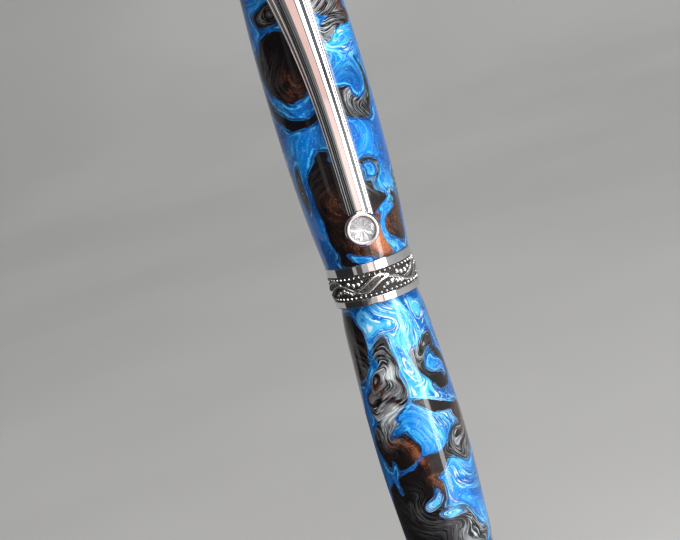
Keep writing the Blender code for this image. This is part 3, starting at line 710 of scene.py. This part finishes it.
def make_barrel_fittings(chrome, black_resin):
    settle(lathe("tail_cap", rounded(TAIL_OUTLINE)), ["tail_finial"], "barrel", chrome)
    trim = lathe("tail_spacer", rounded(TRIM_OUTLINE))
    settle(trim, ["tail_trim_ring"], "barrel", black_resin)
    cut = thread(NECK_R, NECK_LOW, NECK_HIGH, CAP_LEAD, CAP_STARTS, NECK_DEPTH)
    coupler = lathe("barrel_thread", subdivided(rounded(COUPLER_OUTLINE), NECK_LOW, NECK_HIGH), 120, cut)
    settle(coupler, ["barrel_coupler"], "barrel", chrome)


def make_section(chrome, black_resin, rubber, glass):
    heights = np.linspace(81.5, 97.3, 50)
    waist = zip(smooth_curve(GRIP_LINE, heights), heights)
    outline = np.array([*rounded(GRIP_FOOT)[:-1], *waist, *GRIP_SEAT])
    cut = thread(TENON_R, TENON_LOW, TENON_HIGH, TENON_LEAD, TENON_STARTS, TENON_DEPTH)
    grip = lathe("grip", subdivided(outline, TENON_LOW, TENON_HIGH), 120, cut)
    settle(grip, ["grip_section"], "section", black_resin)
    ring = lathe("grip_trim", rounded(GRIP_RING_OUTLINE))
    settle(ring, ["grip_ring"], "section", chrome)
    for name, node, height in (("rear_seal", "o_ring_rear", 87.6), ("front_seal", "o_ring_front", 94.4)):
        loop = arc((2.4, height), 0.32, 0, 360, 25)[:-1]
        settle(lathe(name, loop, 96), [node], "section", rubber)
    make_nib(glass)


def make_nib(glass):
    """A twisted, fluted glass nib on a plain shank, drawn out to a fine point."""
    heights = np.linspace(NIB_LINE[0][0], NIB_LINE[-1][0], 110)
    head = list(zip(smooth_curve(NIB_LINE, heights), heights))

    def flutes(azimuth, radius, height):
        fade = max(0.0, min(1.0, (height - FLUTES_LOW) / 1.6, (FLUTES_HIGH - height) / 1.2))
        wave = 0.5 + 0.5 * np.cos(FLUTES * (azimuth - FLUTE_TWIST * (height - FLUTE_ORIGIN)))
        return radius * (1 - FLUTE_DEPTH * fade * (1 - wave) ** 0.8)

    outline = [(0, 85.4), (1.8, 85.4), (2.0, 85.6), *head, (0, 115.2)]
    settle(lathe("dip_nib", outline, 128, flutes, 50), ["glass_nib"], "section", glass)


def washer_tab(azimuth, radius, height):
    """A shape for lathe() that draws the washer's rim out to a square tab under the clip."""
    if radius < WASHER_RIM:
        return np.full(len(azimuth), radius)
    turned = azimuth + math.radians(TAB_TURN)
    across = TAB_HALF_WIDTH / np.maximum(np.abs(np.sin(turned)), 0.05)
    reach = np.minimum(TAB_REACH / np.maximum(np.cos(turned), 0.1), across)
    return np.maximum(radius, np.where(np.cos(turned) > 0, reach, 0) - (WASHER_R - radius))


def make_cap_fittings(chrome, black_resin, brass):
    band = lathe("band_lower", rounded(BAND_OUTLINE), 192)
    settle(band, ["band_coupler"], "cap", chrome)
    ring = lathe("band_upper", rounded(UPPER_RING_OUTLINE), 192)
    settle(ring, ["band_upper_ring"], "cap", chrome)
    insert = subdivided(rounded(INSERT_OUTLINE), INSERT_LOW - INSERT_END, INSERT_HIGH + INSERT_END)
    cut = thread(INSERT_R, INSERT_LOW, INSERT_HIGH, CAP_LEAD, CAP_STARTS, INSERT_DEPTH)
    settle(lathe("cap_thread", insert, 120, cut), ["cap_thread_insert"], "cap", brass)
    washer = lathe("clip_washer", rounded(WASHER_OUTLINE), 288, washer_tab)
    settle(washer, ["clip_ring"], "cap", chrome)
    top = [*arc((3.9, 136.9), 2.9, 4, 72), (4.6, 139.75), (3.36, 139.82), (3.3, 139.5), (0, 139.5)]
    crown = lathe("cap_crown", [*rounded(CROWN_FOOT)[:-1], *top])
    settle(crown, ["cap_finial"], "cap", chrome)
    dome = [(0, 139.55), (3.2, 139.55), (3.24, 140.05), *arc((0, 130.0), 10.75, 72.8, 90, 12)]
    dome[-1] = (0, dome[-1][1])
    settle(lathe("crown_inlay", dome), ["finial_inlay"], "cap", black_resin)


# ---------------- relief band

RELIEF_SEAT, RELIEF_GROUND = 6.8, 7.02
RELIEF_LOW, RELIEF_HIGH = 72.22, 76.32
RELIEF_MIDDLE = (RELIEF_LOW + RELIEF_HIGH) / 2
RELIEF_FULL = 0.34              # the material takes anything this far above the ground as fully raised
WAVES_ROUND, SWING = 5, 0.86
STRANDS = ((10.6, 0.36), (0.5, -0.34))      # each one's lag in degrees, and its lift
STRAND_HALF_WIDTH, STRAND_SPACE = 0.27, 0.36
LEAF_RISE, GRAIN_RISE, SPOT_RISE = 0.09, 0.10, 0.36
GRAINS_ROUND, GRAIN_ROW, GRAIN_RADIUS = 98, 0.39, 0.17
BEADS_ROUND = 50
BERRIES = (                     # in each wave: (azimuth, height above the middle, radius)
    (-38.5, 0.72, 0.40), (-31.2, 0.42, 0.42), (-23.6, 0.46, 0.40), (-17.4, 0.82, 0.28), (-47.0, -0.22, 0.24),
    (-43.0, -0.52, 0.26), (-38.0, -0.74, 0.28), (-32.4, -0.86, 0.28), (9.4, -0.98, 0.26), (15.0, -0.62, 0.38),
    (22.4, -0.48, 0.42), (30.0, -0.72, 0.38), (36.2, -0.98, 0.26), (2.0, 1.12, 0.24), (7.4, 0.98, 0.28),
    (13.4, 0.94, 0.30), (19.6, 0.70, 0.28),
)


def relief_spots():
    """Round beads and berries of the relief: (azimuth, height, radius), with azimuth in degrees."""
    spots = []
    for i in range(BEADS_ROUND):
        azimuth = (i + 0.3) * 360 / BEADS_ROUND
        spots.append((azimuth, RELIEF_HIGH - 0.42, 0.21))
        spots.append((azimuth + 2.4, RELIEF_LOW + 0.36, 0.23))
    for i in range(WAVES_ROUND):
        start = i * 360 / WAVES_ROUND
        spots += [(start + azimuth, RELIEF_MIDDLE + height, radius) for azimuth, height, radius in BERRIES]
    return spots


SPOTS = relief_spots()


def granulation(azimuth, height):
    """Fine grains set in staggered rows over the ground, from 0 to 1."""
    row = (height - RELIEF_LOW) / GRAIN_ROW
    nearest = round(row)
    across = azimuth / (2 * math.pi) * GRAINS_ROUND + 0.5 * (nearest % 2)
    x = (across - np.round(across)) * 2 * math.pi * RELIEF_GROUND / GRAINS_ROUND
    return bulge(np.hypot(x, (row - nearest) * GRAIN_ROW), GRAIN_RADIUS)


def relief_shape(azimuth, radius, height):
    """Two strands that rise in waves with a smooth leaf between, over beads, berries and grains."""
    radii = np.full(len(azimuth), radius)
    if radius < RELIEF_GROUND - 0.05:
        return radii
    raise_by = GRAIN_RISE * granulation(azimuth, height)
    strands = []
    for lag, lift in STRANDS:
        phase = WAVES_ROUND * (azimuth + math.radians(lag))
        line = RELIEF_MIDDLE + lift + SWING * np.sin(phase)
        slope = SWING * WAVES_ROUND / RELIEF_GROUND * np.cos(phase)
        off = np.abs(height - line) / np.sqrt(1 + slope ** 2)
        rising = np.clip(0.75 + 0.8 * np.cos(phase), 0.0, 1)
        strands.append((line, rising))
        ridge = bulge(off, STRAND_HALF_WIDTH) * (0.24 + 0.25 * rising)
        raise_by = np.maximum(np.where(off < STRAND_SPACE, 0, raise_by), ridge)
    between = (height < strands[0][0] - 0.2) & (height > strands[1][0] + 0.2) & (strands[0][1] > 0.75)
    raise_by = np.where(between, LEAF_RISE, raise_by)
    for where, level, size in SPOTS:
        if abs(height - level) > size:
            continue
        off = np.hypot(turn_from(where, azimuth) * RELIEF_GROUND, height - level)
        raise_by = np.where(between, raise_by, np.maximum(raise_by, SPOT_RISE * bulge(off, size)))
    return radii + raise_by


def make_relief():
    heights = np.linspace(RELIEF_LOW, RELIEF_HIGH, 68)
    outline = [(RELIEF_SEAT, RELIEF_LOW), *((RELIEF_GROUND, z) for z in heights), (RELIEF_SEAT, RELIEF_HIGH)]
    piece = lathe("band_scrollwork", outline, 900, relief_shape, 60)
    places = places_of(piece)
    raised = np.clip((np.hypot(places[:, 0], places[:, 1]) - RELIEF_GROUND) / RELIEF_FULL, 0, 1)
    keep_vector(piece, "relief", (raised, raised, raised))
    settle(piece, ["band_relief"], "cap", pewter_material())


# ---------------- clip

BEZEL_X, BEZEL_HEIGHT, BEZEL_BACK = 0.38, 84.0, -8.35
ARM_BACK = ((84.4, -8.75), (96, -9.2), (110, -9.5), (121, -9.6), (128, -9.52), (130, -9.5))
ARM_WIDTHS = ((0, 3.9), (12, 4.1), (24, 4.5), (32, 5.4), (39, 6.65), (47.5, 8.2))
ARM_LOW, BEND_START, BEND_RADIUS, ARM_END_Y = 85.4, 130.0, 1.1, -7.2
RIB_HALF_WIDTH, RIB_SPREAD = 1.22, 0.22
RIB_FOOT, RIB_RISE = 0.62, 0.63
FLANGE_EDGE, FLANGE_RISE, FLANGE_RIDGE = 0.25, 0.37, 0.028
BEZEL_OUTLINE = (
    (0, 0, 0), (2.5, 0, 0.25), (2.87, 0.55, 0.35), (2.87, 2.5, 0.3), (2.62, 3.10, 0.4), (2.10, 3.07, 0.14),
    (2.02, 2.86, 0.06), (2.24, 2.72, 0.05), (2.30, 2.5, 0.05), (2.30, 1.75, 0.1), (0, 1.75, 0))
PLEATS, FOIL_R, FOIL_BACK, FOIL_MIDDLE, FOIL_LOW, FOIL_HIGH = 20, 2.26, 1.78, 1.98, 2.04, 2.52


def arm_path():
    """Back-face points (y, height) of the arm with their outward directions, from the bezel to the ring."""
    heights = np.linspace(ARM_LOW, BEND_START, 150)
    backs = smooth_curve(ARM_BACK, heights)
    slopes = np.gradient(backs, heights)
    path = []
    for y, z, slope in zip(backs, heights, slopes):
        length = math.hypot(1, slope)
        path.append(((y, z), (-1 / length, slope / length)))
    centre_y = ARM_BACK[-1][1] + BEND_RADIUS
    for angle in np.radians(np.linspace(8, 90, 12)):
        out = (-math.cos(angle), math.sin(angle))
        path.append(((centre_y + BEND_RADIUS * out[0], BEND_START + BEND_RADIUS * out[1]), out))
    path.append(((ARM_END_Y, BEND_START + BEND_RADIUS), (0.0, 1.0)))
    return path


def arm_outline(width):
    """Flat-crowned rib between two flanges that each have a groove along them: (x, thickness) points."""
    half = width / 2
    rib = RIB_HALF_WIDTH + RIB_SPREAD * (width - ARM_WIDTHS[0][1])
    edge = [(half - 0.06, 0.0), (half, 0.06), (half, 0.16), (half - 0.03, 0.22)]
    flange = []
    for share in np.linspace(0.92, 0.03, 29):
        x = rib + share * (half - rib)
        ridge = FLANGE_RIDGE * math.cos(4 * math.pi * share) * min(1.0, (half - rib) / 0.9)
        flange.append((x, FLANGE_EDGE + FLANGE_RISE * (1 - share) + ridge))
    across = np.sin(np.radians(np.linspace(90, 0, 33)))
    dome = [(rib * t, RIB_FOOT + RIB_RISE * (1 - 0.998 * t ** 3) ** 0.45) for t in across]
    right = edge + flange + dome
    left = [(-x, thick) for x, thick in reversed(right[:-1])]
    return right + left


def make_clip_arm(chrome):
    points, loops = [], []
    for (y, height), (out_y, out_z) in arm_path():
        above = min(height, BEND_START) - BEZEL_HEIGHT
        width = float(smooth_curve(ARM_WIDTHS, np.array(above)))
        centre = BEZEL_X + 0.42 - 0.0019 * max(above - 12, 0) ** 2
        loop = []
        for x, thick in arm_outline(width):
            loop.append(len(points))
            points.append((centre + x, y + thick * out_y, height + thick * out_z))
        loops.append(loop)
    faces = []
    for lower, upper in zip(loops, loops[1:]):
        for k in range(len(lower)):
            m = (k + 1) % len(lower)
            faces.append((lower[k], lower[m], upper[m], upper[k]))
    faces.append(tuple(reversed(loops[0])))
    faces.append(tuple(loops[-1]))
    piece = mesh_piece("clip_blade", points, faces, 50)
    settle(piece, ["clip_arm"], "clip", chrome)


def face_front(piece):
    """Stands a piece turned about +Z on the bezel's back, facing out from the clip."""
    place = Vector((BEZEL_X, BEZEL_BACK, BEZEL_HEIGHT)) * MM
    piece.data.transform(Matrix.Translation(place) @ Matrix.Rotation(math.pi / 2, 4, "X"))
    return piece


def make_bezel(chrome):
    cup = face_front(lathe("clip_bezel", rounded(BEZEL_OUTLINE), 128))
    settle(cup, ["clip_arm"], "clip", chrome)


def make_foil():
    """Pleated silver foil behind the crystal, which gives it its radial sparkle."""
    points = [(0.0, 0.0, FOIL_BACK), (0.0, 0.0, FOIL_MIDDLE)]
    for k in range(PLEATS):
        angle = 2 * math.pi * k / PLEATS
        for height in (FOIL_BACK, FOIL_HIGH if k % 2 else FOIL_LOW):
            points.append((FOIL_R * math.cos(angle), FOIL_R * math.sin(angle), height))
    faces = []
    for k in range(PLEATS):
        low, after = 2 + 2 * k, 2 + 2 * ((k + 1) % PLEATS)
        faces += [(0, after, low), (1, low + 1, after + 1), (low, after, after + 1, low + 1)]
    piece = face_front(mesh_piece("crystal_foil", points, faces, 1))
    settle(piece, ["crystal"], "clip", foil_material())


def make_crystal():
    """A round stone with a table, star, kite and girdle facets over a shallow pointed back."""
    def ring(count, radius, height, turn=0.0):
        return [(radius * math.cos(math.radians(turn + 360 / count * k)),
                 radius * math.sin(math.radians(turn + 360 / count * k)), height) for k in range(count)]

    table, crown = ring(8, 1.25, 3.0), ring(8, 1.78, 2.86, 22.5)
    girdle_top, girdle_low = ring(16, 2.2, 2.66), ring(16, 2.2, 2.56)
    # Points 0-7 are the table's, 8-15 the crown's, 16-31 and 32-47 the girdle's, and 48 is the back's
    points = table + crown + girdle_top + girdle_low + [(0.0, 0.0, 2.02)]
    faces = [tuple(range(8))]
    for k in range(8):
        after = (k + 1) % 8
        corner, side, corner_after = 16 + 2 * k, 17 + 2 * k, 16 + 2 * after
        faces.append((k, 8 + k, after))
        faces.append((k, 8 + (k - 1) % 8, corner, 8 + k))
        faces.append((8 + k, corner, side))
        faces.append((8 + k, side, corner_after))
    for k in range(16):
        after = (k + 1) % 16
        faces.append((16 + k, 32 + k, 32 + after, 16 + after))
        faces.append((32 + k, 48, 32 + after))
    piece = face_front(mesh_piece("clip_crystal", points, faces, 1))
    settle(piece, ["crystal"], "clip", crystal_material())


def finish_hidden_nodes(brass, plastic):
    """Gives the CAD nodes that stay as they are, all of them inside the pen, their finishes."""
    for name, material in (("barrel_tube", brass), ("tail_coupler", brass), ("nib_collet", brass),
                           ("cap_tube", brass), ("cap_coupler", brass), ("inner_cap", plastic)):
        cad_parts[name].data.materials.clear()
        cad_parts[name].data.materials.append(material)


# ---------------- studio

def studio_material(name, low, high, per_mm):
    """A dull material that is mottled between two colours."""
    n = Nodes(name)
    mottle = n.noise(per_mm, 3.0)
    return n.shade(Base_Color=n.blend(n.step(mottle, 0.3, 0.7), low, high), Roughness=0.85)


def make_floor():
    """A pale floor that sweeps up into a backdrop."""
    depth, radius, top, half_width = 0.9, 0.6, 2.4, 2.5
    rise = [(-depth, 0.0), (depth, 0.0)]
    for angle in np.radians(np.linspace(6, 90, 20)):
        rise.append((depth + radius * math.sin(angle), radius - radius * math.cos(angle)))
    rise.append((depth + radius, top))
    points = [(x / MM, y / MM, z / MM) for y, z in rise for x in (-half_width, half_width)]
    faces = [(2 * i, 2 * i + 1, 2 * i + 3, 2 * i + 2) for i in range(len(rise) - 1)]
    floor = mesh_piece("pale_floor", points, faces, 60)
    shades = (0.50, 0.495, 0.485), (0.55, 0.545, 0.535)
    floor.data.materials.append(studio_material("pale_sweep", *shades, 0.004))


def polar(azimuth, distance, height):
    """The place that lies that way from the pen's axis, in metres."""
    angle = math.radians(azimuth)
    return Vector((distance * math.sin(angle), -distance * math.cos(angle), height))


def make_card(name, azimuth, distance, width, low, high, shade):
    """A flat card on end, facing the pen, for the chrome to reflect."""
    x = width / 2 / MM
    points = ((-x, 0, low / MM), (x, 0, low / MM), (x, 0, high / MM), (-x, 0, high / MM))
    card = mesh_piece(name, points, [(0, 1, 2, 3)])
    card.location = polar(azimuth, distance, 0)
    card.rotation_euler = (0, 0, math.radians(azimuth))
    card.data.materials.append(studio_material(name, shade, tuple(c * 1.25 for c in shade), 0.02))
    card.visible_camera = False
    card.visible_shadow = False


def make_mat():
    """A dark mat on the floor at the pen's left, for the lower barrel to reflect."""
    points = ((-300, -300, 1), (0, -300, 1), (0, 200, 1), (-300, 200, 1))
    mat = mesh_piece("dark_mat", points, [(0, 1, 2, 3)])
    mat.data.materials.append(studio_material("dark_mat", (0.02, 0.02, 0.022), (0.028, 0.028, 0.03), 0.02))
    mat.visible_camera = mat.visible_shadow = mat.visible_diffuse = False


def make_light(name, azimuth, distance, height, size, power, colour=(1, 1, 1), aim=(0, 0, 0.08)):
    lamp = bpy.data.lights.new(name, "AREA")
    lamp.shape = "RECTANGLE"
    lamp.size, lamp.size_y = size
    lamp.energy = power
    lamp.color = colour
    light = bpy.data.objects.new(name, lamp)
    light.location = polar(azimuth, distance, height)
    light.rotation_euler = (Vector(aim) - light.location).to_track_quat("-Z", "Y").to_euler()
    light.visible_camera = False
    bpy.context.scene.collection.objects.link(light)


def make_studio():
    make_floor()
    world = bpy.data.worlds.new("room")
    world.use_nodes = True
    room = world.node_tree.nodes["Background"]
    room.inputs["Color"].default_value = (0.80, 0.82, 0.86, 1)
    room.inputs["Strength"].default_value = 0.22
    bpy.context.scene.world = world
    make_light("window", 29, 0.20, 0.13, (0.115, 0.26), 0.16, aim=(0, 0, 0.13))
    make_light("strip", 36.5, 0.10, 0.12, (0.019, 0.24), 0.095, aim=(0, 0, 0.12))
    make_light("fill", -14, 0.55, 0.55, (0.5, 0.3), 1.2)
    make_light("overhead", 30, 0.5, 1.0, (0.8, 0.8), 8.0)
    make_light("far", 166, 1.2, 0.9, (0.8, 0.8), 4.0, aim=(-0.4, 1.15, 0))
    make_card("dark_card", -75, 0.30, 0.32, 0.001, 0.5, (0.02, 0.02, 0.022))
    make_mat()
    make_card("grey_card", -30, 0.36, 0.10, 0.001, 0.5, (0.16, 0.155, 0.15))
    make_light("warm", 1, 0.20, 0.13, (0.05, 0.26), 0.033, (1.0, 0.60, 0.50), (0, 0, 0.13))
    bpy.context.scene.view_settings.view_transform = "Standard"


def make_camera():
    """Camera a little above the clip's side of the pen, rolled so that the pen leans left."""
    elevation, roll, distance = math.radians(10.0), math.radians(16.69), 0.30
    aim = Vector((-0.00492, 0.0, 0.0768))
    back = Vector((0, -math.cos(elevation), math.sin(elevation)))
    side = Vector((1, 0, 0))
    up = back.cross(side)
    turned_side = side * math.cos(roll) - up * math.sin(roll)
    turned_up = side * math.sin(roll) + up * math.cos(roll)
    camera = bpy.data.objects.new("camera", bpy.data.cameras.new("camera"))
    place = aim + back * distance
    columns = Matrix(((*turned_side, 0), (*turned_up, 0), (*back, 0), (*place, 1)))
    camera.matrix_world = columns.transposed()
    camera.data.lens, camera.data.sensor_width, camera.data.clip_end = 95.6, 36.0, 50.0
    bpy.context.scene.collection.objects.link(camera)
    bpy.context.scene.camera = camera


chrome, brass, black_resin = chrome_material(), brass_material(), black_resin_material()
make_sleeves()
make_barrel_fittings(chrome, black_resin)
make_section(chrome, black_resin, rubber_material(), glass_material())
make_cap_fittings(chrome, black_resin, brass)
make_relief()
make_clip_arm(chrome)
make_bezel(chrome)
make_foil()
make_crystal()
finish_hidden_nodes(brass, plastic_material())
make_studio()
make_camera()
